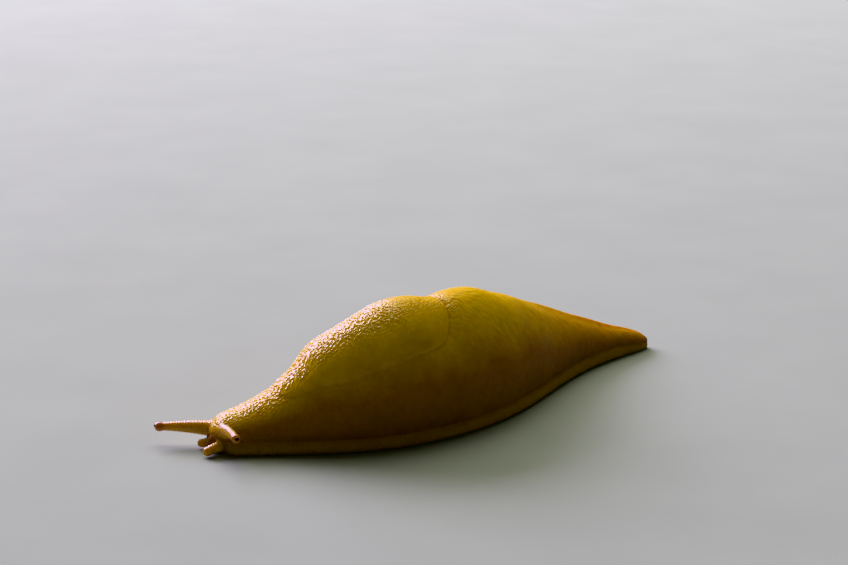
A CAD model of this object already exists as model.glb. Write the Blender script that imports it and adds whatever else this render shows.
# A banana slug, life size, as a museum would show it: one wet golden skin over the built solids.
# Shapes are worked out in millimetres along the slug's own body and scaled to metres at the end.
import math

import bpy
import numpy as np
from mathutils import Matrix, Vector


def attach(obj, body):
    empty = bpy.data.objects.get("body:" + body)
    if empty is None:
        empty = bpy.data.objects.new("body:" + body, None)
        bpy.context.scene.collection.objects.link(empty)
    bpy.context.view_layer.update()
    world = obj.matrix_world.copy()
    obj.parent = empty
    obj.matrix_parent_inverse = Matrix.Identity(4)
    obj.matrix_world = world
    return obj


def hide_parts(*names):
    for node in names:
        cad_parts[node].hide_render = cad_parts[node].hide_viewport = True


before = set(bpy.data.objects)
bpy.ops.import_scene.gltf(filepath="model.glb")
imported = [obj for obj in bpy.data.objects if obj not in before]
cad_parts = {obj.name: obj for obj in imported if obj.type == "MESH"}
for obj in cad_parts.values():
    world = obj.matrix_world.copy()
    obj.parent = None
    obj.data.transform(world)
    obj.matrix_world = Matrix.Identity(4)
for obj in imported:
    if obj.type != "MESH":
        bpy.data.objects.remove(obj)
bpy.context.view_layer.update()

mm = 0.001
scene = bpy.context.scene
print("frame loaded:", len(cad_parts), "solids")

# Half width and height of the flesh, and the heading of the body, at distances back from the snout.
body = {
    "length": 144.0,
    "originAlong": 60.0,
    "snoutRound": 3.0,
    "tailRound": 3.6,
    "girth": [
        (0, 3.8, 6.8), (2.5, 5.5, 8.4), (7, 6.9, 10.0), (13, 8.2, 12.8), (19, 9.6, 16.7),
        (26, 11.4, 23.4), (33, 12.8, 27.4), (41, 13.8, 31.0), (49, 14.2, 32.4),
        (57, 14.3, 31.5), (64, 14.4, 32.3), (70, 14.3, 31.6), (78, 13.8, 29.4), (91, 12.2, 24.3),
        (105, 9.7, 18.1), (118, 7.0, 12.5), (130, 4.6, 8.0), (139, 2.7, 5.2), (144, 1.5, 3.2),
    ],
    "bends": [
        (0, -20), (20, -18), (36, -12), (52, 2), (68, 16), (85, 21), (105, 15), (125, 4),
        (144, -6),
    ],
    "keelFrom": 84.0,
    "keelFull": 112.0,
    "keelFades": 22.0,
    "keelHigh": 0.9,
    "keelNarrow": 0.2,
}


# Smooth value through the rows of a table
def through(rows, column, along):
    table = np.array(rows, float)
    x, y = table[:, 0], table[:, column]
    gaps = np.diff(x)
    rise = np.diff(y) / gaps
    slope = np.empty_like(y)
    slope[0], slope[-1] = rise[0], rise[-1]
    slope[1:-1] = (rise[:-1] * gaps[1:] + rise[1:] * gaps[:-1]) / (gaps[:-1] + gaps[1:])
    s = np.clip(along, x[0], x[-1])
    i = np.clip(np.searchsorted(x, s, side="right") - 1, 0, len(x) - 2)
    span = gaps[i]
    t = (s - x[i]) / span
    return (
        (2 * t**3 - 3 * t**2 + 1) * y[i]
        + (t**3 - 2 * t**2 + t) * span * slope[i]
        + (3 * t**2 - 2 * t**3) * y[i + 1]
        + (t**3 - t**2) * span * slope[i + 1]
    )


def smooth(low, high, x):
    t = np.clip((np.asarray(x, float) - low) / (high - low), 0, 1)
    return t * t * (3 - 2 * t)


def headingAt(along):
    return np.radians(through(body["bends"], 1, along))


# The middle line of the sole, walked in half millimetre steps
stride = 0.5
strides = np.arange(0, body["length"], stride)
turns = headingAt(strides + stride / 2)
walk = np.stack([np.cos(turns), np.sin(turns)], axis=1) * stride
trail = np.vstack([[0, 0], np.cumsum(walk, axis=0)])
trail -= trail[int(body["originAlong"] / stride)]


def trailAt(along):
    k = np.clip(np.asarray(along, float) / stride, 0, len(trail) - 1.001)
    low = k.astype(int)
    share = (k - low)[..., None]
    spot = trail[low] * (1 - share) + trail[low + 1] * share
    past = along - np.clip(along, 0, body["length"])
    angle = headingAt(along)
    return spot + past[..., None] * np.stack([np.cos(angle), np.sin(angle)], axis=-1)


# A point of the slug: along the body, out to its right side, above the floor
def place(along, out, high):
    along, out, high = np.broadcast_arrays(
        np.asarray(along, float), np.asarray(out, float), np.asarray(high, float)
    )
    angle = headingAt(along)
    middle = trailAt(along)
    return np.stack(
        [middle[..., 0] - out * np.sin(angle), middle[..., 1] + out * np.cos(angle), high],
        axis=-1,
    )


def endRound(along):
    snout = np.clip(along / body["snoutRound"], 0, 1)
    tail = np.clip((body["length"] - along) / body["tailRound"], 0, 1)
    return np.sqrt(1 - (1 - snout) ** 2) * np.sqrt(1 - (1 - tail) ** 2)


def widthAt(along):
    return through(body["girth"], 1, along)


def heightAt(along):
    return through(body["girth"], 2, along)


foot = {
    "thick": 3.3,
    "thinShare": 0.42,  # of the flesh's height, where that is low
    "front": 2.6,
    "rear": 143.4,
    "rings": 350,
    "fringeSteps": 22,
    "flare": 0.75,
    "fringeRound": 0.75,  # lower is squarer
    "inset": 0.55,  # depth of the groove over the fringe
    "under": 1.3,  # how far the sole draws in below it
    "frontRound": 3.0,
    "rearRound": 4.0,
    "endLeast": 0.2,
    "slimBelow": 4.0,  # half width under which the fringe shrinks with the body
    "lapHigh": (0.5, 0.2),  # the foot runs up inside the flesh
    "lapIn": 0.4,
}


def grooveAt(along):
    return np.minimum(foot["thick"], foot["thinShare"] * heightAt(along))


# How the section of the flesh leans in and rounds over
sectionShape = {
    "overGroove": 0.15,  # the flesh starts this far above the groove over the fringe
    "leanIn": 0.1,  # towards the ridge
    "tuckIn": 0.07,  # at the lower edge
    "tuckPower": 6,
    "roundPower": 0.9,
    "endHigh": 0.3,  # share of the height at which snout and tail tip close
    "endLeast": 0.12,
}


def lowEdgeAt(along):
    return grooveAt(along) + sectionShape["overGroove"]


def endsAt(along):
    return np.maximum(endRound(along), sectionShape["endLeast"])


def leanAt(rise):
    tuck = sectionShape["tuckIn"] * (1 - rise) ** sectionShape["tuckPower"]
    return 1 - sectionShape["leanIn"] * rise - tuck


# Angle 0 is low on the right side, a quarter turn is the ridge
def fleshPoint(along, angle, grown=0.0):
    along, angle = np.broadcast_arrays(np.asarray(along, float), np.asarray(angle, float))
    ends = endsAt(along)
    low = lowEdgeAt(along)
    middle = low + (heightAt(along) - low) * sectionShape["endHigh"]
    rise = np.sin(angle)
    out = widthAt(along) * np.cos(angle) * leanAt(rise)
    high = low + (heightAt(along) - low) * np.maximum(rise, 0) ** sectionShape["roundPower"]
    crest = (
        body["keelHigh"]
        * smooth(body["keelFrom"], body["keelFull"], along)
        * (1 - smooth(body["length"] - body["keelFades"], body["length"], along))
        * np.exp(-(((angle - math.pi / 2) / body["keelNarrow"]) ** 2))
    )
    return place(
        along,
        out * ends + grown * np.cos(angle),
        middle + (high + crest - middle) * ends + grown * rise,
    )


# Rings of a ball of radius 1, from its top to its bottom
def ballRings(rows, sides, poleGap):
    polar = np.linspace(poleGap, math.pi - poleGap, rows)[:, None]
    around = np.linspace(0, 2 * math.pi, sides, endpoint=False)[None, :]
    return np.stack(
        [
            np.sin(polar) * np.cos(around),
            np.sin(polar) * np.sin(around),
            np.cos(polar) * np.ones_like(around),
        ],
        axis=-1,
    )


# Loose pieces of the body, closed, lapping into each other, ready to be fused
class Lumps:
    def __init__(self):
        self.points, self.quads, self.tris, self.count = [], [], [], 0

    def add(self, points, quads, tris):
        self.points.append(points)
        self.quads.append(np.asarray(quads, int).reshape(-1, 4) + self.count)
        self.tris.append(np.asarray(tris, int).reshape(-1, 3) + self.count)
        self.count += len(points)

    def addTube(self, rings):
        rows, sides, _ = rings.shape
        at = np.arange(rows * sides).reshape(rows, sides)
        nextSide = np.roll(at, -1, axis=1)
        quads = np.stack([at[:-1], nextSide[:-1], nextSide[1:], at[1:]], axis=-1)
        points = np.vstack([rings.reshape(-1, 3), rings[0].mean(0), rings[-1].mean(0)])
        first = np.full(sides, rows * sides)
        capA = np.stack([first, nextSide[0], at[0]], axis=-1)
        capB = np.stack([first + 1, at[-1], nextSide[-1]], axis=-1)
        self.add(points, quads, np.vstack([capA, capB]))

    def mesh(self, name):
        made = bpy.data.meshes.new(name)
        faces = np.vstack(self.quads).tolist() + np.vstack(self.tris).tolist()
        made.from_pydata(np.vstack(self.points).tolist(), [], faces)
        return made


lumps = Lumps()
print("laying out the body")

bodyRings = {
    "step": 0.4,
    "upper": 200,
    "closeUp": 0.12,
    "tuck": ((0.25, 0.28), (0.7, 0.45), (1.5, 0.5)),  # steps in and down from the lower edge
    "slimBelow": 5.0,
}


def addFlesh():
    # rings close up towards the snout and the tail tip
    even = np.linspace(0, 1, int(body["length"] / bodyRings["step"]))
    fullTurn = 2 * math.pi
    along = body["length"] * (even - bodyRings["closeUp"] * np.sin(fullTurn * even) / fullTurn)
    angle = np.linspace(0, math.pi, bodyRings["upper"])
    upper = fleshPoint(along[:, None], angle[None, :])
    # the lower edge tucks in under the flank
    ends = endsAt(along)
    wide = widthAt(along) * leanAt(0) * ends
    low = lowEdgeAt(along)
    floorOfFlesh = low + (heightAt(along) - low) * sectionShape["endHigh"] * (1 - ends)
    small = np.minimum(wide / bodyRings["slimBelow"], 1)
    tuck = [
        (wide - inward * small, floorOfFlesh - down * small) for inward, down in bodyRings["tuck"]
    ]
    left = [place(along, -out, high) for out, high in tuck]
    right = [place(along, out, high) for out, high in reversed(tuck)]
    lower = np.stack(left + right, axis=1)
    lumps.addTube(np.concatenate([upper, lower], axis=1))


def addFoot():
    along = np.linspace(foot["front"], foot["rear"], foot["rings"])
    front = np.clip((along - foot["front"]) / foot["frontRound"], 0, 1)
    rear = np.clip((body["length"] - along) / foot["rearRound"], 0, 1)
    ends = np.minimum(np.sqrt(1 - (1 - front) ** 2), np.sqrt(1 - (1 - rear) ** 2))
    ends = np.maximum(ends, foot["endLeast"])
    wide = widthAt(along) * leanAt(0) * ends
    small = np.minimum(wide / foot["slimBelow"], 1)
    top = grooveAt(along)
    # from the groove round the fringe to the edge of the sole
    swing = np.radians(np.linspace(90, -90, foot["fringeSteps"]))[None, :]
    share = (1 - np.sin(swing)) / 2
    drawnIn = foot["inset"] * (1 - share) + foot["under"] * share
    inner = wide[:, None] - small[:, None] * drawnIn
    out = inner + (foot["flare"] + drawnIn) * small[:, None] * np.cos(swing) ** foot["fringeRound"]
    high = top[:, None] * (1 + np.sin(swing)) / 2
    lap = np.stack([inner[:, 0] - foot["lapIn"] * small, inner[:, 0]], axis=1)
    out = np.concatenate([lap, out], axis=1)
    high = np.concatenate([top[:, None] + np.array([foot["lapHigh"]]), high], axis=1)
    right = place(along[:, None], out, high)
    left = place(along[:, None], -out[:, ::-1], high[:, ::-1])
    lumps.addTube(np.concatenate([right, left], axis=1)[:, ::-1])


mantle = {
    "front": 16.0,
    "rear": 59.0,
    "halfSpan": 0.95,
    "squareness": 3.2,
    "thick": 1.15,  # over the flesh, in the middle of the shield
    "rim": 0.34,  # and at its edge
    "roundRim": 0.3,
    "tightenFrom": 0.8,  # share of the reach from which the rows draw in for the rounded rim
    "swellPower": 6,
    "sunk": 1.0,
    "core": 3.0,
    "wavers": ((0.010, 7, 1.0), (0.006, 13, 0.0)),  # share of the reach, waves round, start
    "hub": 0.02,
    "spokes": 560,
    "rows": 110,
    "lipRows": 12,
}


# The shield's edge wavers a little on its way round
def edgeWaver(around):
    return 1 + sum(high * np.sin(waves * around + start) for high, waves, start in mantle["wavers"])


def addMantle():
    spokes, rows, lip = mantle["spokes"], mantle["rows"], mantle["lipRows"]
    around = np.linspace(0, 2 * math.pi, spokes, endpoint=False)[None, :]
    n = mantle["squareness"]
    toEdge = (np.abs(np.cos(around)) ** n + np.abs(np.sin(around)) ** n) ** (-1 / n)
    toEdge = toEdge * edgeWaver(around)
    middle = (mantle["front"] + mantle["rear"]) / 2
    halfLong = (mantle["rear"] - mantle["front"]) / 2
    # outer face from the middle to the rim, then round the rim and down into the flesh
    radius = mantle["roundRim"]
    reach = np.concatenate([np.linspace(mantle["hub"], 1, rows), np.ones(lip)])[:, None]
    turn = np.concatenate([np.zeros(rows), np.linspace(0, math.pi / 2, lip)])[:, None]
    inset = 1 - radius * (1 - np.sin(turn)) / halfLong * smooth(mantle["tightenFrom"], 1, reach)
    far = reach * toEdge * inset
    swell = mantle["rim"] + (mantle["thick"] - mantle["rim"]) * (1 - reach ** mantle["swellPower"])
    grown = swell - radius * (1 - np.cos(turn))
    along = middle + halfLong * far * np.cos(around)
    angle = math.pi / 2 - mantle["halfSpan"] * far * np.sin(around)
    rings = fleshPoint(along, angle, grown)
    skirt = fleshPoint(along[-1:], angle[-1:], -mantle["sunk"])
    ridge = np.full((1, spokes), math.pi / 2)
    core = fleshPoint(np.full((1, spokes), middle), ridge, -mantle["core"])
    lumps.addTube(np.concatenate([rings, skirt, (skirt + core) / 2], axis=0)[:, ::-1])


feelerKinds = {
    "upper": {"neckRadius": 0.85, "taper": 1.1, "sunk": 1.8},
    "lower": {"sunk": 1.2},
}
feelerShape = {
    "steps": 90,
    "readSteps": 60,
    "sides": 64,
    "bulbBlend": 7.0,  # higher makes a harder line between stalk and bulb
    "bulbTrim": 0.02,
    "rootFlare": 0.2,  # share of the root's radius
    "flareLong": 1.1,
    "leastRadius": 0.03,
    "mapRadius": 1.2,
}

# Root: along, out and high on the head. Tip: forward, out and up from the root. Bow of the stalk.
# The left eye feeler is the less stretched of the two, so it is slimmer at the root.
feelers = {
    "upperRight": {
        "kind": "upper", "rootRadius": 2.2, "tipRadius": 1.2,
        "root": (2.0, 3.1, 4.0), "tip": (14.1, 4.4, 0.4), "bow": 0.8,
    },
    "upperLeft": {
        "kind": "upper", "rootRadius": 1.5, "tipRadius": 1.1,
        "root": (3.0, -2.7, 5.5), "tip": (-1.5, -11.0, 1.3), "bow": 1.2,
    },
    "lowerRight": {
        "kind": "lower", "rootRadius": 1.1, "tipRadius": 0.95,
        "root": (1.0, 1.3, 1.35), "tip": (3.6, 0.4, -0.15), "bow": 0.3,
    },
    "lowerLeft": {
        "kind": "lower", "rootRadius": 1.3, "tipRadius": 1.05,
        "root": (2.8, -3.2, 2.0), "tip": (5.0, -2.2, -0.75), "bow": 0.4,
    },
}


def kindOf(name):
    return feelerKinds[feelers[name]["kind"]]


def feelerLine(name, steps):
    feeler = feelers[name]
    root = place(*feeler["root"])
    angle = float(headingAt(feeler["root"][0]))
    ahead = np.array([-math.cos(angle), -math.sin(angle), 0])
    right = np.array([-math.sin(angle), math.cos(angle), 0])
    forward, aside, up = feeler["tip"]
    end = root + ahead * forward + right * aside + np.array([0, 0, up])
    way = (end - root) / np.linalg.norm(end - root)
    start = root - way * kindOf(name)["sunk"]
    middle = (start + end) / 2 + np.array([0, 0, feeler["bow"]])
    t = np.linspace(0, 1, steps)[:, None]
    line = start * (1 - t) ** 2 + 2 * middle * t * (1 - t) + end * t**2
    length = np.linalg.norm(np.diff(line, axis=0), axis=1).sum()
    return line, length


def feelerRadius(name, share, length):
    feeler = feelers[name]
    fromTip = (1 - share) * length
    root, tip = feeler["rootRadius"], feeler["tipRadius"]
    if feeler["kind"] == "upper":
        slim = kindOf(name)["neckRadius"]
        stalk = slim + (root - slim) * (1 - share) ** kindOf(name)["taper"]
        ball = np.sqrt(np.maximum(tip**2 - np.abs(fromTip - tip) ** 2, 0))
        # the stalk swells softly into the bulb
        blend = feelerShape["bulbBlend"]
        joined = np.log(np.exp(stalk * blend) + np.exp(ball * blend)) / blend
        return np.where(fromTip < tip, ball, np.maximum(joined - feelerShape["bulbTrim"], ball))
    stalk = tip + (root - tip) * (1 - share)
    cap = np.clip(fromTip / tip, 0, 1)
    return stalk * np.sqrt(1 - (1 - cap) ** 2)


def addFeelers():
    for name in feelers:
        line, length = feelerLine(name, feelerShape["steps"])
        way = np.gradient(line, axis=0)
        way /= np.linalg.norm(way, axis=1)[:, None]
        across = np.cross(way, [0, 0, 1])
        across /= np.linalg.norm(across, axis=1)[:, None]
        upward = np.cross(across, way)
        share = np.linspace(0, 1, len(line))
        radius = feelerRadius(name, share, length)
        fromRoot = share * length - kindOf(name)["sunk"]
        flare = feelerShape["rootFlare"] * feelers[name]["rootRadius"]
        radius = radius + flare * np.exp(-((fromRoot / feelerShape["flareLong"]) ** 2))
        radius = np.maximum(radius, feelerShape["leastRadius"])
        around = np.linspace(0, 2 * math.pi, feelerShape["sides"], endpoint=False)
        ring = (
            across[:, None] * np.cos(around)[None, :, None]
            + upward[:, None] * np.sin(around)[None, :, None]
        )
        lumps.addTube(line[:, None] + ring * radius[:, None, None])


lips = {
    "along": 0.7, "out": 1.1, "high": 2.5, "radius": 1.3, "tall": 1.3,
    "rows": 24, "sides": 32, "poleGap": 0.02,
}


def lipCentre(side):
    return place(lips["along"], side * lips["out"], lips["high"])


def addLips():
    angle = float(headingAt(0.0))
    turn = [[math.cos(angle), math.sin(angle), 0], [-math.sin(angle), math.cos(angle), 0], [0, 0, 1]]
    ball = ballRings(lips["rows"], lips["sides"], lips["poleGap"]) * (1, 1, lips["tall"])
    for side in (-1, 1):
        lumps.addTube(ball * lips["radius"] @ np.array(turn) + lipCentre(side))


addFlesh()
addFoot()
addMantle()
addFeelers()
addLips()

# All lumps become one skin, in even quads fine enough for every granule
fuse = {
    "voxel": 0.135,
    "settle": 3,
    "blend": 40,
    "rim": 60,
    "pull": 0.5,
    "lastPull": 0.15,
    "searches": 6,  # rounds that find a point's place along the body
}


def fuseLumps():
    raw = bpy.data.objects.new("rawBody", lumps.mesh("rawBody"))
    scene.collection.objects.link(raw)
    remesh = raw.modifiers.new("fuse", "REMESH")
    remesh.mode = "VOXEL"
    remesh.voxel_size = fuse["voxel"]
    graph = bpy.context.evaluated_depsgraph_get()
    made = bpy.data.meshes.new_from_object(raw.evaluated_get(graph))
    old = raw.data
    bpy.data.objects.remove(raw)
    bpy.data.meshes.remove(old)
    return made


skinMesh = fuseLumps()
print("fused skin:", len(skinMesh.polygons), "faces")


def readPoints(mesh):
    flat = np.empty(len(mesh.vertices) * 3)
    mesh.vertices.foreach_get("co", flat)
    return flat.reshape(-1, 3)


def writePoints(mesh, points):
    mesh.vertices.foreach_set("co", np.ascontiguousarray(points).ravel())
    mesh.update()


def readNormals(mesh):
    flat = np.empty(len(mesh.vertices) * 3)
    mesh.vertex_normals.foreach_get("vector", flat)
    return flat.reshape(-1, 3)


edges = np.empty(len(skinMesh.edges) * 2, np.int64)
skinMesh.edges.foreach_get("vertices", edges)
edges = edges.reshape(-1, 2)
degree = np.bincount(edges.ravel(), minlength=len(skinMesh.vertices)).astype(float)


# Each value moves towards the mean of its neighbours
def soften(values, rounds, weight):
    values = values.copy()
    columns = values.reshape(len(values), -1)
    for _ in range(rounds):
        for c in range(columns.shape[1]):
            v = columns[:, c]
            total = np.bincount(edges[:, 0], v[edges[:, 1]], len(v))
            total += np.bincount(edges[:, 1], v[edges[:, 0]], len(v))
            columns[:, c] = v + weight * (total / degree - v)
    return values


# Where each point of the skin lies on the body
def alongOf(points):
    along = points[:, 0] + body["originAlong"]
    for _ in range(fuse["searches"]):
        angle = headingAt(along)
        gap = points[:, :2] - trailAt(along)
        along = along + gap[:, 0] * np.cos(angle) + gap[:, 1] * np.sin(angle)
    return along


def outOf(points, along):
    angle = headingAt(along)
    gap = points[:, :2] - trailAt(along)
    return -gap[:, 0] * np.sin(angle) + gap[:, 1] * np.cos(angle)


points = soften(readPoints(skinMesh), fuse["settle"], fuse["pull"])
along = alongOf(points)
out = outOf(points, along)

# Feelers and lips grow out of the head with no crease, and the foot joins the flesh at the tail's tip
joins = {"feelerReach": 1.5, "lipReach": 1.7, "lipPull": 0.35, "tailTip": (139, 142)}


def nearTo(centre, span):
    away = np.linalg.norm(points - centre, axis=1)
    return np.exp(-((away / span) ** 4))


joinMark = smooth(*joins["tailTip"], along)
for feeler in feelers.values():
    span = feeler["rootRadius"] * joins["feelerReach"]
    joinMark = np.maximum(joinMark, nearTo(place(*feeler["root"]), span))
for side in (-1, 1):
    span = lips["radius"] * joins["lipReach"]
    joinMark = np.maximum(joinMark, joins["lipPull"] * nearTo(lipCentre(side), span))
points = soften(points, fuse["blend"], fuse["pull"] * joinMark)
print("joins blended")

# The least section a point is read against, and the most it can stand over the bare flesh
reading = {"leastTall": 1.0, "leastWide": 1.0, "leastEnd": 0.3, "mostOver": 1.5, "arcShare": 0.97}

along = alongOf(points)
out = outOf(points, along)
low = lowEdgeAt(along)
tall = np.maximum(heightAt(along) - low, reading["leastTall"])
wide = widthAt(along) * np.maximum(endRound(np.clip(along, 0, body["length"])), reading["leastEnd"])
wide = np.maximum(wide, reading["leastWide"])

# Angle round the body, found back from a table of the section, and height over the bare flesh
turnTable = np.linspace(0, math.pi / 2, 400)
highTable = np.sin(turnTable) ** sectionShape["roundPower"]
outTable = np.cos(turnTable) * leanAt(np.sin(turnTable))
seenTable = np.arctan2(highTable, outTable)
sizeTable = np.hypot(highTable, outTable)
lifted = np.clip(points[:, 2] - low, 0, None)
over = np.zeros(len(points))
for _ in range(3):
    seen = np.arctan2(lifted / (tall + over), np.abs(out) / (wide + over))
    angle = np.interp(seen, seenTable, turnTable)
    bareSize = np.interp(seen, seenTable, sizeTable)
    size = np.hypot(lifted / tall, np.abs(out) / wide)
    span = np.hypot(tall * np.sin(angle), wide * np.cos(angle))
    over = np.clip((size / bareSize - 1) * span, 0, reading["mostOver"])
around = (math.pi / 2 - angle) * np.sign(out)  # 0 on the ridge, positive down the right side
meanRadius = np.sqrt((widthAt(along) ** 2 + tall**2) / 2) * reading["arcShare"]
arc = around * meanRadius  # millimetres from the ridge

# Where the marks on the skin begin and end. Each pair is the range over which a mark fades.
marks = {
    "feelersWithin": (16, 14),  # no feeler is further back or up than this
    "offFeeler": (0.25, 0.9),  # distance from a feeler's surface
    "feelerRoot": (0.2, 1.6),
    "bulb": (1.8, 3.4),  # distance from a feeler's tip
    "footTop": (-0.1, 0.35),  # over the groove
    "footFront": (2.4, 4.0),
    "sole": (0.05, 0.5),
    "shieldEnds": (1.0, 1.06),  # share of the shield's reach
    "shieldOver": (0.2, 0.5),  # height over the bare flesh
    "softRimWide": 0.05,
    "softRimSide": (0.3, 0.6),
    "softRimEnds": (48, 56),
    "creaseAt": 1.012,
    "creaseWide": 0.016,
    "head": (8, 22),
    "rear": (70, 125),
}

feelerMark = np.zeros(len(points))
bulbMark = np.zeros(len(points))
feelerAlong = np.zeros(len(points))
feelerAround = np.zeros(len(points))
farthestBack, farthestUp = marks["feelersWithin"]
ahead = np.flatnonzero((along < farthestBack) & (points[:, 2] < farthestUp))
for name in feelers:
    line, length = feelerLine(name, feelerShape["readSteps"])
    share = np.linspace(0, 1, len(line))
    radius = feelerRadius(name, share, length)
    gaps = np.linalg.norm(points[ahead][:, None] - line[None], axis=2)
    nearest = gaps.argmin(axis=1)
    closeness = gaps.min(axis=1) - radius[nearest]
    walked = share[nearest] * length
    mark = 1 - smooth(*marks["offFeeler"], closeness)
    mark *= smooth(*marks["feelerRoot"], walked - kindOf(name)["sunk"])
    chosen = mark > feelerMark[ahead]
    spots = ahead[chosen]
    feelerMark[spots] = mark[chosen]
    feelerAlong[spots] = walked[chosen]
    way = (line[-1] - line[0]) / np.linalg.norm(line[-1] - line[0])
    acrossWay = np.cross(way, [0, 0, 1])
    acrossWay /= np.linalg.norm(acrossWay)
    upWay = np.cross(acrossWay, way)
    spoke = points[spots] - line[nearest[chosen]]
    feelerAround[spots] = np.arctan2(spoke @ upWay, spoke @ acrossWay)
    if feelers[name]["kind"] == "upper":
        bulbMark[spots] = (1 - smooth(*marks["bulb"], length - walked))[chosen]

groove = grooveAt(along)
footMark = 1 - smooth(*marks["footTop"], points[:, 2] - groove)
footMark *= smooth(*marks["footFront"], along) * (1 - feelerMark)
soleMark = 1 - smooth(*marks["sole"], points[:, 2])
# the shield is what stands over the bare flesh, and the crease is the line round it
middleAlong = (mantle["front"] + mantle["rear"]) / 2
shareAlong = (along - middleAlong) / ((mantle["rear"] - mantle["front"]) / 2)
shareAround = around / mantle["halfSpan"]
squared = np.abs(shareAlong) ** mantle["squareness"] + np.abs(shareAround) ** mantle["squareness"]
reach = squared ** (1 / mantle["squareness"]) / edgeWaver(np.arctan2(shareAround, shareAlong))
inShield = 1 - smooth(*marks["shieldEnds"], reach)
mantleMark = smooth(*marks["shieldOver"], over) * inShield
# the shield runs into the left flank with hardly an edge
rimMark = np.exp(-(((reach - 1.0) / marks["softRimWide"]) ** 2))
rimMark *= smooth(*marks["softRimSide"], -around) * (1 - smooth(*marks["softRimEnds"], along))
points = soften(points, fuse["rim"], fuse["pull"] * rimMark)
creaseMark = np.exp(-(((reach - marks["creaseAt"]) / marks["creaseWide"]) ** 2)) * (1 - footMark)
headMark = (1 - smooth(*marks["head"], along)) * (1 - feelerMark)
fleshMark = (1 - mantleMark) * (1 - footMark) * (1 - feelerMark)

# Beads and mucus are strongest over the front of the back, and fade down the flanks and to the rear
shine = {
    "side": (0.35, 0.85),
    "leftFades": 0.72,
    "rightFades": 0.15,
    "rear": (41.5, 48.5),
    "rearDries": 0.92,
    "rearSmooths": 0.4,
    "right": (0.1, 0.6),
    "rightDries": 0.72,
    "least": 0.07,
    "neck": (14, 20),
    "head": (12, 24),
    "headWet": 0.72,
    "dipAlong": 59.8,
    "dipWide": 1.7,
    "dipSide": (0.35, 0.7),
    "dipWet": 0.65,
    "openDries": 0.9,
}
sideFade = np.where(around > 0, shine["rightFades"], shine["leftFades"])
frontMark = 1 - sideFade * smooth(*shine["side"], np.abs(around))
rightSide = smooth(*shine["right"], around)
leftRear = smooth(*shine["rear"], along) * (1 - rightSide)
wetMark = frontMark * (1 - shine["rearDries"] * leftRear) * (1 - shine["rightDries"] * rightSide)
frontMark *= 1 - shine["rearSmooths"] * leftRear
wetMark *= np.maximum(inShield, 1 - smooth(*shine["neck"], along))
wetMark = shine["least"] + (1 - shine["least"]) * wetMark
wetMark *= shine["headWet"] + (1 - shine["headWet"]) * smooth(*shine["head"], along)
# a cluster of beads lies where the back dips behind the shield
dipMark = np.exp(-(((along - shine["dipAlong"]) / shine["dipWide"]) ** 2))
dipMark *= 1 - smooth(*shine["dipSide"], np.abs(around))
wetMark = np.maximum(wetMark, shine["dipWet"] * dipMark)
wetMark = np.maximum(wetMark, feelerMark)


# Points strewn one to a unit square: how far the nearest is, and a number of its own
strewn = {"edge": 0.12, "far": 9.0, "mixU": 127.1, "mixV": 311.7, "mixSeed": 17.3, "mixAll": 43758.5453}


def strew(u, v, seed):
    def scatter(a, b, turn):
        mixed = a * strewn["mixU"] + b * strewn["mixV"] + seed * strewn["mixSeed"] + turn
        value = np.sin(mixed) * strewn["mixAll"]
        return value - np.floor(value)

    cellU, cellV = np.floor(u), np.floor(v)
    room = 1 - 2 * strewn["edge"]
    first = np.full(len(u), strewn["far"])
    number = np.zeros(len(u))
    for stepU in (-1, 0, 1):
        for stepV in (-1, 0, 1):
            a, b = cellU + stepU, cellV + stepV
            spotU = a + strewn["edge"] + room * scatter(a, b, 0.0)
            spotV = b + strewn["edge"] + room * scatter(a, b, 4.7)
            gap = np.hypot(spotU - u, spotV - v)
            closer = gap < first
            number = np.where(closer, scatter(a, b, 9.1), number)
            first = np.minimum(first, gap)
    return first, number


relief = {
    "beadWide": 0.34, "beadVaries": 0.35, "grainVaries": 0.2,
    "shieldGrain": 0.88, "shieldHigh": 0.33, "dipHigh": 0.3,
    "neckGrain": 0.85, "neckHigh": 0.36, "neckSide": (0.5, 1.0), "neckSideSmooths": 0.7,
    "neckEnds": (17, 26), "snoutGrain": 0.6, "snoutEnds": (2, 14),
    "faceGrain": 0.7, "faceEnds": (1.5, 3.5),
    "flankLong": 3.0, "flankShort": 1.3, "flankHigh": 0.13, "flankTilt": 0.62,
    "flankSpread": 0.8, "fineGrain": 0.55, "fineHigh": 0.02, "fineSpread": 0.72,
    "driftPitch": 14.0, "quickDriftPitch": 5.0, "rowDrift": 0.5, "edgeDrift": 0.35,
    "fringePitch": 1.15, "fringeDeep": 0.15, "fringeSharp": 0.6, "fringeLean": 0.12,
    "fringeVaries": 0.3, "fringeBeat": 2.1, "fringeUnderSole": 0.75,
    "ringPitch": 0.66, "ringDeep": 0.16, "ringSharp": 0.8, "ringWaver": 0.25, "bulbSmooths": 0.8,
    "swell": 0.14, "swellPitch": 11.0, "swellWaves": 7,
    "crease": 0.16, "creaseFront": 0.1, "creaseRises": (47, 56),
    "neckGroove": 0.05, "neckGrooveOut": 1.15, "neckGrooveWide": 0.28,
    "neckGrooveStarts": (5, 8), "neckGrooveEnds": (16, 18),
    "soleSmooths": 0.9,
}


# Rounded grains that touch, highest at the crown of a grain and 0 where it meets the next
def grains(u, v, seed, spread):
    first, number = strew(u, v, seed)
    uneven = 1 - relief["grainVaries"] * (1 - number)
    return np.clip(1 - (first / spread) ** 2, 0, 1) * uneven


# Small round beads, no two alike, with softly hollowed skin between them
def beads(u, v, seed):
    first, number = strew(u, v, seed)
    uneven = 1 - relief["beadVaries"] * (1 - number)
    return np.exp(-((first / relief["beadWide"]) ** 2)) * uneven


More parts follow.
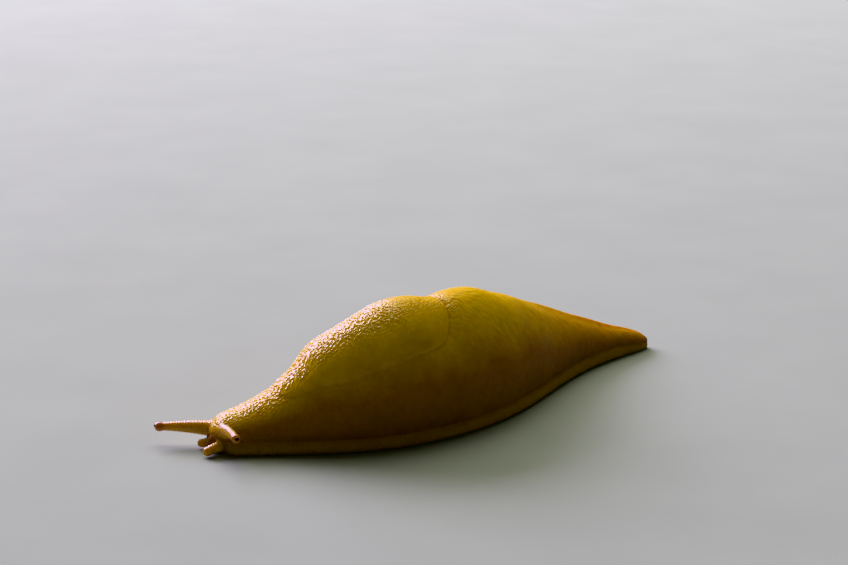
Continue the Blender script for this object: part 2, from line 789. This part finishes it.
# Slow swells: a few sine waves in seeded directions
def swells(pitch, seed):
    draw = np.random.default_rng(seed)
    total = np.zeros(len(points))
    for _ in range(relief["swellWaves"]):
        way = draw.normal(size=3)
        way *= 2 * math.pi / (pitch * draw.uniform(0.7, 1.5) * np.linalg.norm(way))
        total += np.sin(points @ way + draw.uniform(0, 2 * math.pi))
    return total / math.sqrt(relief["swellWaves"])


# Breathing pore, on the right side only, and the mouth between the lips
pore = {
    "along": 46.0, "down": 0.74, "radius": 1.3, "deep": 1.5, "longer": 0.82, "skew": 0.12,
    "floor": 0.35,  # share of the radius
    "rim": 0.26, "rimAt": 1.3, "rimWide": 0.5,
    "slitDeep": 0.22, "slitWide": 0.26, "slitBow": 0.5, "slitLong": 3.6, "slitStarts": (0.9, 1.7),
    "slitEnds": (0.98, 1.02),  # share of the shield's reach
    "slitDark": 0.3,
}
mouth = {"deep": 0.85, "wide": 0.24, "low": (1.0, 1.5), "high": (3.6, 4.2), "behind": 1.6}


def poreShape():
    back = along - pore["along"]
    aside = (around - pore["down"]) * meanRadius
    gap = np.hypot(back * pore["longer"] + pore["skew"] * aside, aside)
    pit = 1 - smooth(pore["radius"] * pore["floor"], pore["radius"], gap)
    lip = np.exp(-(((gap - pore["radius"] * pore["rimAt"]) / pore["rimWide"]) ** 2))
    # a bowed slit runs from the pore down to the edge of the shield
    bow = back - pore["slitBow"] * np.sin(np.clip(aside / pore["slitLong"], 0, 1) * math.pi)
    slit = np.exp(-((bow / pore["slitWide"]) ** 2)) * smooth(*pore["slitStarts"], aside)
    slit = slit * (1 - smooth(*pore["slitEnds"], reach)) * (around > 0)
    height = pore["rim"] * lip - pore["deep"] * pit - pore["slitDeep"] * slit
    return height, np.clip(pit + pore["slitDark"] * slit, 0, 1)


def skinRelief():
    drift = swells(relief["driftPitch"], 3)
    quickDrift = swells(relief["quickDriftPitch"], 5)
    # shield: small round beads in wavering rows
    u = (along + relief["rowDrift"] * drift) / relief["shieldGrain"]
    v = (arc + relief["rowDrift"] * quickDrift) / relief["shieldGrain"]
    row = beads(u, v, 11)
    shield = row * frontMark
    # flanks: long grains that slant down and back from the ridge
    slant = along - relief["flankTilt"] * np.abs(arc)
    spread = np.abs(arc) + relief["flankTilt"] * along
    longer = (spread + relief["rowDrift"] * drift) / relief["flankLong"]
    shorter = (slant + relief["edgeDrift"] * quickDrift) / relief["flankShort"]
    # each side of the ridge has grains of its own
    flank = grains(longer + 40 * np.sign(arc), shorter, 23, relief["flankSpread"])
    # neck and head: beads shrink towards the snout
    size = relief["snoutGrain"] + (1 - relief["snoutGrain"]) * smooth(*relief["snoutEnds"], along)
    neck = beads(along / relief["neckGrain"], arc / size / relief["neckGrain"] + 30, 31)
    face = beads(out / relief["faceGrain"], points[:, 2] / relief["faceGrain"], 37)
    faceMark = 1 - smooth(*relief["faceEnds"], along)
    neck = neck * (1 - faceMark) + face * faceMark
    fine = grains(along / relief["fineGrain"], arc / relief["fineGrain"], 47, relief["fineSpread"])
    towardsHead = 1 - smooth(*relief["neckEnds"], along)
    grain = flank * (1 - towardsHead) + neck * towardsHead
    high = relief["flankHigh"] * (1 - towardsHead) + relief["neckHigh"] * size * towardsHead
    neckSide = smooth(*relief["neckSide"], np.abs(around)) * towardsHead * (1 - faceMark)
    high = high * (1 - relief["neckSideSmooths"] * neckSide)
    flesh = (grain - 0.5) * high + (fine - 0.5) * relief["fineHigh"]
    flesh = flesh + row * relief["dipHigh"] * dipMark
    # two shallow grooves run along the neck from between the feelers
    pair = np.exp(-(((np.abs(arc) - relief["neckGrooveOut"]) / relief["neckGrooveWide"]) ** 2))
    pair *= smooth(*relief["neckGrooveStarts"], along) * (1 - smooth(*relief["neckGrooveEnds"], along))
    flesh = flesh - relief["neckGroove"] * pair
    # fringe: upright grooves, uneven in width
    wavered = along + relief["edgeDrift"] * quickDrift + relief["fringeLean"] * points[:, 2] * drift
    phase = wavered / relief["fringePitch"]
    fringe = np.abs(np.sin(math.pi * phase)) ** relief["fringeSharp"] - 0.7
    fringe *= 1 - relief["fringeVaries"] * (1 - np.sin(relief["fringeBeat"] * phase))
    fringe *= 1 - relief["fringeUnderSole"] * soleMark
    # feelers: fine rings
    ringPhase = feelerAlong / relief["ringPitch"] + relief["ringWaver"] * np.sin(feelerAround * 2)
    rings = np.abs(np.sin(math.pi * ringPhase)) ** relief["ringSharp"] - 0.6
    rings *= 1 - relief["bulbSmooths"] * bulbMark
    total = (
        (shield - 0.5) * relief["shieldHigh"] * mantleMark * frontMark
        + flesh * fleshMark
        + fringe * relief["fringeDeep"] * footMark
        + rings * relief["ringDeep"] * feelerMark
    )
    slow = relief["swell"] * swells(relief["swellPitch"], 8)
    slow *= (1 - footMark) * (1 - feelerMark) * (1 - headMark)
    front = relief["creaseFront"]
    deeper = front + (1 - front) * smooth(*relief["creaseRises"], along)
    crease = relief["crease"] * creaseMark * deeper
    poreHeight, poreMark = poreShape()
    hollow = (
        mantleMark * (1 - shield)
        + fleshMark * (1 - grain)
        + footMark * np.clip(-fringe, 0, 1)
        + feelerMark * np.clip(-rings, 0, 1) * 0.6
    )
    return total + slow - crease + poreHeight, np.clip(hollow, 0, 1), poreMark


writePoints(skinMesh, points)
normals = readNormals(skinMesh)
pressed, hollow, poreMark = skinRelief()
pressed = pressed * (1 - relief["soleSmooths"] * soleMark)
points = points + normals * pressed[:, None]
# the mouth is a slit that runs up between the lips
mouthMark = np.exp(-((out / mouth["wide"]) ** 2)) * (along < mouth["behind"]) * (1 - feelerMark)
mouthMark *= smooth(*mouth["low"], points[:, 2]) * (1 - smooth(*mouth["high"], points[:, 2]))
snoutHeading = float(headingAt(0.0))
points[:, 0] += mouth["deep"] * mouthMark * math.cos(snoutHeading)
points[:, 1] += mouth["deep"] * mouthMark * math.sin(snoutHeading)
# what bears on the floor stays flat on it
points[:, 2] = np.maximum(points[:, 2], 0.0)
points = soften(points, 1, fuse["lastPull"])
writePoints(skinMesh, points * mm)
print("relief pressed into the skin")


def addMark(mesh, name, values):
    mesh.attributes.new(name, "FLOAT", "POINT").data.foreach_set(
        "value", np.ascontiguousarray(values, np.float32)
    )


def addMap(mesh, name, values):
    mesh.attributes.new(name, "FLOAT_VECTOR", "POINT").data.foreach_set(
        "vector", np.ascontiguousarray(values, np.float32).ravel()
    )


# the map that wrinkles follow: along and round the body, or along and round a feeler
onFeeler = feelerMark > 0.5
mapU = np.where(onFeeler, feelerAlong, along)
mapV = np.where(onFeeler, feelerAround * feelerShape["mapRadius"], arc)
addMap(skinMesh, "lie", np.stack([mapU, mapV, np.zeros(len(points))], axis=1))
openMark = np.clip(poreMark + mouthMark, 0, 1)
skinMarks = {
    "footMark": footMark,
    "soleMark": soleMark,
    "feelerMark": feelerMark,
    "bulbMark": bulbMark,
    "creaseMark": creaseMark,
    "wetMark": wetMark * (1 - shine["openDries"] * openMark),
    "openMark": openMark,
    "hollowMark": hollow,
    "upMark": np.clip((points[:, 2] - groove) / tall, 0, 1),
    "rearMark": smooth(*marks["rear"], along),
}
for name, values in skinMarks.items():
    addMark(skinMesh, name, values)
skinMesh.polygons.foreach_set("use_smooth", np.ones(len(skinMesh.polygons), bool))


# Short ways to lay out a material's nodes
class Nodes:
    def __init__(self, name):
        self.material = bpy.data.materials.new(name)
        self.material.use_nodes = True
        self.tree = self.material.node_tree
        self.shader = self.tree.nodes["Principled BSDF"]

    def add(self, kind, **settings):
        node = self.tree.nodes.new("ShaderNode" + kind)
        for key, value in settings.items():
            setattr(node, key, value)
        return node

    def link(self, source, target):
        self.tree.links.new(source, target)

    def mark(self, name):
        return self.add("Attribute", attribute_name=name).outputs["Fac"]

    def space(self):
        return self.add("TexCoord").outputs["Object"]

    def noise(self, source, scale, detail=2.0, rough=0.5):
        node = self.add("TexNoise")
        self.link(source, node.inputs["Vector"])
        node.inputs["Scale"].default_value = scale
        node.inputs["Detail"].default_value = detail
        node.inputs["Roughness"].default_value = rough
        return node.outputs["Fac"]

    def math(self, operation, a, b):
        node = self.add("Math", operation=operation)
        for socket, value in zip(node.inputs, (a, b)):
            if isinstance(value, (int, float)):
                socket.default_value = value
            else:
                self.link(value, socket)
        return node.outputs[0]

    def mix(self, factor, a, b, blend="MIX"):
        node = self.add("Mix", data_type="RGBA", blend_type=blend)
        for socket, value in ((node.inputs[0], factor), (node.inputs[6], a), (node.inputs[7], b)):
            if isinstance(value, (int, float)):
                socket.default_value = value
            elif isinstance(value, tuple):
                socket.default_value = (*value, 1.0)
            else:
                self.link(value, socket)
        return node.outputs[2]

    # Two stops, each a position and a grey value
    def ramp(self, source, stops):
        node = self.add("ValToRGB")
        for element, (position, value) in zip(node.color_ramp.elements, stops):
            element.position = position
            element.color = (value, value, value, 1)
        self.link(source, node.inputs[0])
        return node.outputs[0]

    def set(self, **values):
        for key, value in values.items():
            self.shader.inputs[key.replace("_", " ")].default_value = value


skinLook = {
    "back": (0.88, 0.575, 0.010),
    "rearBack": (0.72, 0.36, 0.009),
    "flank": (0.285, 0.120, 0.004),
    "lowFlank": (0.145, 0.057, 0.004),
    "foot": (0.27, 0.145, 0.006),
    "sole": (0.50, 0.38, 0.14),
    "feeler": (0.52, 0.29, 0.008),
    "bulb": (0.36, 0.145, 0.006),
    "furrow": (0.24, 0.10, 0.003),
    "opening": (0.045, 0.018, 0.003),
    "glow": (0.0034, 0.0014, 0.0003),
    # shares of the height, with 0 below and 1 above
    "lowerEdge": ((0.02, 0.0), (0.4, 1.0)),
    "upperEdge": ((0.4, 0.0), (0.98, 1.0)),
    "hollowDark": 0.16,
    "creaseDark": 0.18,
    # scale of each pattern, and what it does at its low and high values
    "cloudScale": 90.0,
    "cloudHigh": 0.35,
    "mottleScale": 420.0,
    "mottle": ((0.3, 0.88), (0.7, 1.08)),
    "filmScale": 260.0,
    "film": ((0.35, 0.26), (0.65, 0.42)),
    "wetScale": 160.0,
    "wet": ((0.3, 0.75), (0.6, 1.0)),
    "poreScale": 3.4,
    "poreDeep": 0.5,
    "wrinkleScale": 2.2,
    "wrinkleHigh": 0.8,
    "bump": 0.35,
    "bumpHigh": 0.0001,
}


def makeSkinMaterial():
    skin = Nodes("wetGoldenSkin")
    look = skinLook
    lie = skin.add("Attribute", attribute_name="lie").outputs["Vector"]
    space = skin.space()

    def pattern(name):
        return skin.noise(space, look[name + "Scale"], 4.0, 0.55)

    # golden back, duller flanks, with slow cloudy changes
    cloud = skin.math("MULTIPLY", skin.math("SUBTRACT", pattern("cloud"), 0.5), look["cloudHigh"])
    height = skin.math("ADD", skin.mark("upMark"), cloud)
    flank = skin.mix(skin.ramp(height, look["lowerEdge"]), look["lowFlank"], look["flank"])
    back = skin.mix(skin.mark("rearMark"), look["back"], look["rearBack"])
    colour = skin.mix(skin.ramp(height, look["upperEdge"]), flank, back)
    colour = skin.mix(skin.mark("footMark"), colour, look["foot"])
    colour = skin.mix(skin.mark("soleMark"), colour, look["sole"])
    colour = skin.mix(skin.mark("feelerMark"), colour, look["feeler"])
    colour = skin.mix(skin.mark("bulbMark"), colour, look["bulb"])
    hollowMark = skin.math("MULTIPLY", skin.mark("hollowMark"), look["hollowDark"])
    colour = skin.mix(hollowMark, colour, look["furrow"])
    creaseMark = skin.math("MULTIPLY", skin.mark("creaseMark"), look["creaseDark"])
    colour = skin.mix(creaseMark, colour, look["furrow"])
    colour = skin.mix(skin.mark("openMark"), colour, look["opening"])
    colour = skin.mix(1.0, colour, skin.ramp(pattern("mottle"), look["mottle"]), "MULTIPLY")
    skin.link(colour, skin.shader.inputs["Base Color"])

    # mucus: patches of thick and thin film
    film = skin.ramp(pattern("film"), look["film"])
    skin.link(film, skin.shader.inputs["Roughness"])
    wet = skin.math("MULTIPLY", skin.ramp(pattern("wet"), look["wet"]), skin.mark("wetMark"))
    skin.link(wet, skin.shader.inputs["Coat Weight"])

    # pores and fine wrinkles too small to model
    pores = skin.add("TexVoronoi")
    skin.link(lie, pores.inputs["Vector"])
    pores.inputs["Scale"].default_value = look["poreScale"]
    pitted = skin.math("MULTIPLY", pores.outputs["Distance"], -look["poreDeep"])
    wrinkled = skin.noise(lie, look["wrinkleScale"], 6.0, 0.6)
    wrinkled = skin.math("MULTIPLY", wrinkled, look["wrinkleHigh"])
    bump = skin.add("Bump")
    bump.inputs["Strength"].default_value = look["bump"]
    bump.inputs["Distance"].default_value = look["bumpHigh"]
    skin.link(skin.math("ADD", pitted, wrinkled), bump.inputs["Height"])
    skin.link(bump.outputs["Normal"], skin.shader.inputs["Normal"])

    skin.set(
        IOR=1.38, Specular_IOR_Level=0.08, Coat_Roughness=0.04, Coat_IOR=1.6,
        Subsurface_Weight=0.4, Subsurface_Scale=1.0, Subsurface_Radius=look["glow"],
    )
    return skin.material


skinMesh.materials.clear()
skinMesh.materials.append(makeSkinMaterial())
skinMesh.name = "slugSkin"
skin = bpy.data.objects.new("slugSkin", skinMesh)
scene.collection.objects.link(skin)
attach(skin, "root")
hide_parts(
    "head", "neck", "trunk_front", "trunk_middle", "trunk_rear", "tail", "mantle",
    "foot_front", "foot_middle", "foot_rear", "foot_tail",
    "upper_feeler_left", "upper_feeler_right", "lower_feeler_left", "lower_feeler_right",
)
print("skin placed")

# Eye spots: small dark beads set in the end of each upper feeler
eyeSpot = {
    "radius": 0.52,
    "forward": 0.85,
    "up": 0.22,
    "flatten": 0.92,
    "pupilSpan": (0.45, 0.8),  # share of the radius, out towards the front
    "rim": (0.055, 0.022, 0.006),
    "pupil": (0.010, 0.006, 0.004),
    "speckScale": 2600.0,
    "speck": ((0.35, 0.0), (0.7, 1.0)),
    "film": ((0.3, 0.12), (0.7, 0.2)),
    "rows": 24,
    "sides": 48,
    "poleGap": 0.01,
}


def makeEyeMaterial():
    bead = Nodes("eyeBead")
    speck = bead.noise(bead.space(), eyeSpot["speckScale"])
    outside = bead.math("SUBTRACT", 1.0, bead.mark("pupilMark"))
    rim = bead.math("MULTIPLY", bead.ramp(speck, eyeSpot["speck"]), outside)
    colour = bead.mix(rim, eyeSpot["pupil"], eyeSpot["rim"])
    bead.link(colour, bead.shader.inputs["Base Color"])
    bead.link(bead.ramp(speck, eyeSpot["film"]), bead.shader.inputs["Roughness"])
    bead.set(IOR=1.36, Coat_Weight=0.4, Coat_Roughness=0.05)
    return bead.material


eyeMaterial = makeEyeMaterial()


def makeEye(feelerName, pieceName, nodeName):
    line, _ = feelerLine(feelerName, feelerShape["steps"])
    way = line[-1] - line[-2]
    way /= np.linalg.norm(way)
    bulb = feelers[feelerName]["tipRadius"]
    centre = line[-1] + way * (eyeSpot["forward"] - bulb) + np.array([0, 0, eyeSpot["up"]])
    ball = ballRings(eyeSpot["rows"], eyeSpot["sides"], eyeSpot["poleGap"])
    # a slightly flattened cornea faces out of the bulb
    ball[..., 2] = np.where(ball[..., 2] > 0, ball[..., 2] * eyeSpot["flatten"], ball[..., 2])
    facing = Vector((0, 0, 1)).rotation_difference(Vector(way)).to_matrix()
    holder = Lumps()
    holder.addTube(ball * eyeSpot["radius"] @ np.array(facing).T + centre)
    made = holder.mesh(pieceName)
    writePoints(made, readPoints(made) * mm)
    pupil = smooth(*eyeSpot["pupilSpan"], ball[..., 2].ravel())
    addMark(made, "pupilMark", np.append(pupil, [1.0, 0.0]))
    made.polygons.foreach_set("use_smooth", np.ones(len(made.polygons), bool))
    made.materials.append(eyeMaterial)
    eye = bpy.data.objects.new(pieceName, made)
    scene.collection.objects.link(eye)
    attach(eye, "root")
    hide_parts(nodeName)


makeEye("upperLeft", "eyeLeft", "eye_left")
makeEye("upperRight", "eyeRight", "eye_right")
print("eyes set")

# Floor, lights and camera
studio = {
    "floorSize": 6.0,
    "floor": (0.382, 0.432, 0.345),
    "floorScale": 30.0,
    "floorTone": ((0.3, 0.97), (0.7, 1.02)),
    "world": (1.0, 0.95, 1.02),
    "worldStrength": 0.06,
    "lampTarget": (0.0, 0.0, 0.014),
}


def makeFloor():
    far = studio["floorSize"] / 2
    corners = [(-far, -far, 0), (far, -far, 0), (far, far, 0), (-far, far, 0)]
    mesh = bpy.data.meshes.new("floor")
    mesh.from_pydata(corners, [], [(0, 1, 2, 3)])
    board = Nodes("paleFloor")
    tone = board.ramp(board.noise(board.space(), studio["floorScale"], 6.0), studio["floorTone"])
    board.link(board.mix(1.0, studio["floor"], tone, "MULTIPLY"), board.shader.inputs["Base Color"])
    board.set(Roughness=0.8, Specular_IOR_Level=0.0)
    mesh.materials.append(board.material)
    floor = bpy.data.objects.new("floor", mesh)
    scene.collection.objects.link(floor)


makeFloor()

shot = {
    "lens": 100.0,
    "sensor": 36.0,
    "photo": (848, 565),
    "snoutPixel": (209.5, 450),  # where the snout meets the floor in the frame
    "mmPerPixel": 0.24,
    "pitch": 16.0,
    "azimuth": -34.0,
    "near": 0.01,
}


def makeCamera():
    wide, high = shot["photo"]
    focal = shot["lens"] / shot["sensor"] * wide
    distance = shot["mmPerPixel"] * focal
    pitch = math.radians(shot["pitch"])
    forward = Vector((0, math.cos(pitch), -math.sin(pitch)))
    right = Vector((1, 0, 0))
    up = right.cross(forward)
    sideways = (shot["snoutPixel"][0] - wide / 2) / focal
    upward = -(shot["snoutPixel"][1] - high / 2) / focal
    ray = forward + right * sideways + up * upward
    turn = Matrix.Rotation(math.radians(shot["azimuth"]), 3, "Z")
    snout = Vector(place(0.0, 0.0, 0.0))
    camera = bpy.data.objects.new("camera", bpy.data.cameras.new("camera"))
    camera.data.lens = shot["lens"]
    camera.data.sensor_width = shot["sensor"]
    camera.data.clip_start = shot["near"]
    camera.location = (snout - turn @ ray * distance) * mm
    camera.rotation_euler = (math.radians(90 - shot["pitch"]), 0, math.radians(shot["azimuth"]))
    scene.collection.objects.link(camera)
    scene.camera = camera


makeCamera()

# Each lamp stands at an azimuth and elevation round the slug, as seen from the camera's side
lamps = {
    "skyBehindLeft": {
        "turn": 125, "rise": 28.5, "away": 2.6, "size": (2.2, 1.15), "power": 150.0,
        "colour": (0.76, 0.62, 1.0),
    },
    "keyAbove": {
        "turn": 95, "rise": 54, "away": 2.4, "size": (2.2, 2.2), "power": 50.0,
        "colour": (1.0, 0.94, 0.88),
    },
}


def makeLamps():
    target = Vector(studio["lampTarget"])
    for name, lamp in lamps.items():
        data = bpy.data.lights.new(name, "AREA")
        data.shape = "RECTANGLE"
        data.size, data.size_y = lamp["size"]
        data.energy = lamp["power"]
        data.color = lamp["colour"]
        turn = math.radians(lamp["turn"] + shot["azimuth"])
        rise = math.radians(lamp["rise"])
        level = math.cos(rise)
        way = Vector((math.cos(turn) * level, math.sin(turn) * level, math.sin(rise)))
        holder = bpy.data.objects.new(name, data)
        holder.location = target + way * lamp["away"]
        holder.rotation_euler = way.to_track_quat("Z", "Y").to_euler()
        scene.collection.objects.link(holder)
    world = bpy.data.worlds.new("studioAir")
    world.use_nodes = True
    backdrop = world.node_tree.nodes["Background"]
    backdrop.inputs["Color"].default_value = (*studio["world"], 1)
    backdrop.inputs["Strength"].default_value = studio["worldStrength"]
    scene.world = world


makeLamps()
scene.view_settings.view_transform = "Khronos PBR Neutral"
print("floor, camera and lamps placed")
